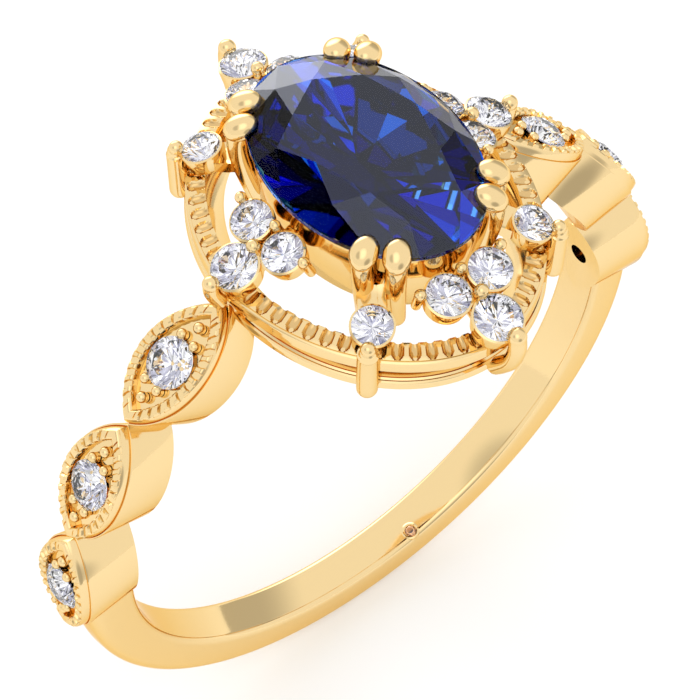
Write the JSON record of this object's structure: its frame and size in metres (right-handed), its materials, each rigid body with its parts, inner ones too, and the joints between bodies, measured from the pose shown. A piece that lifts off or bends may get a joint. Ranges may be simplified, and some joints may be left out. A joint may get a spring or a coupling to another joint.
{
  "type": "engagement ring",
  "caption": "Halo engagement ring with an oval blue stone in double claws, an openwork beaded halo, stone clusters and marquise shoulders.",
  "frame": {"origin": "centre of the finger hole", "axes": "+Y along the finger hole's axis, +Z from the finger hole to the centre stone, +X across the shank to the right shoulder"},
  "size_m": [0.0206, 0.012, 0.022],
  "materials": {
    "gold": "polished yellow gold",
    "sapphire": "faceted transparent deep blue stone",
    "diamond": "faceted clear colourless stone",
    "pink_stone": "small clear pink stone"
  },
  "bodies": {
    "root": {"shank": "gold", "station_left_1": "gold", "station_rim_left_1": "gold", "station_beads_left_1": "gold", "station_diamond_left_1": "diamond", "station_left_2": "gold", "station_rim_left_2": "gold", "station_beads_left_2": "gold", "station_diamond_left_2": "diamond", "station_left_3": "gold", "station_rim_left_3": "gold", "station_beads_left_3": "gold", "station_diamond_left_3": "diamond", "station_right_1": "gold", "station_rim_right_1": "gold", "station_beads_right_1": "gold", "station_diamond_right_1": "diamond", "station_right_2": "gold", "station_rim_right_2": "gold", "station_beads_right_2": "gold", "station_diamond_right_2": "diamond", "station_right_3": "gold", "station_rim_right_3": "gold", "station_beads_right_3": "gold", "station_diamond_right_3": "diamond", "lower_gallery_rail": "gold", "halo_ring": "gold", "halo_milgrain": "gold", "basket_collar": "gold", "prong_pair_ne": "gold", "single_seat_ne": "gold", "single_diamond_ne": "diamond", "prong_pair_nw": "gold", "single_seat_nw": "gold", "single_diamond_nw": "diamond", "prong_pair_se": "gold", "single_seat_se": "gold", "single_diamond_se": "diamond", "prong_pair_sw": "gold", "single_seat_sw": "gold", "single_diamond_sw": "diamond", "cluster_seat_n": "gold", "cluster_beads_n": "gold", "cluster_diamonds_n": "diamond", "cluster_seat_s": "gold", "cluster_beads_s": "gold", "cluster_diamonds_s": "diamond", "cluster_seat_e": "gold", "cluster_beads_e": "gold", "cluster_diamonds_e": "diamond", "cluster_seat_w": "gold", "cluster_beads_w": "gold", "cluster_diamonds_w": "diamond", "centre_sapphire": "sapphire", "inside_pink_stone": "pink_stone", "inside_bezel": "gold"}
  },
  "joints": []
}
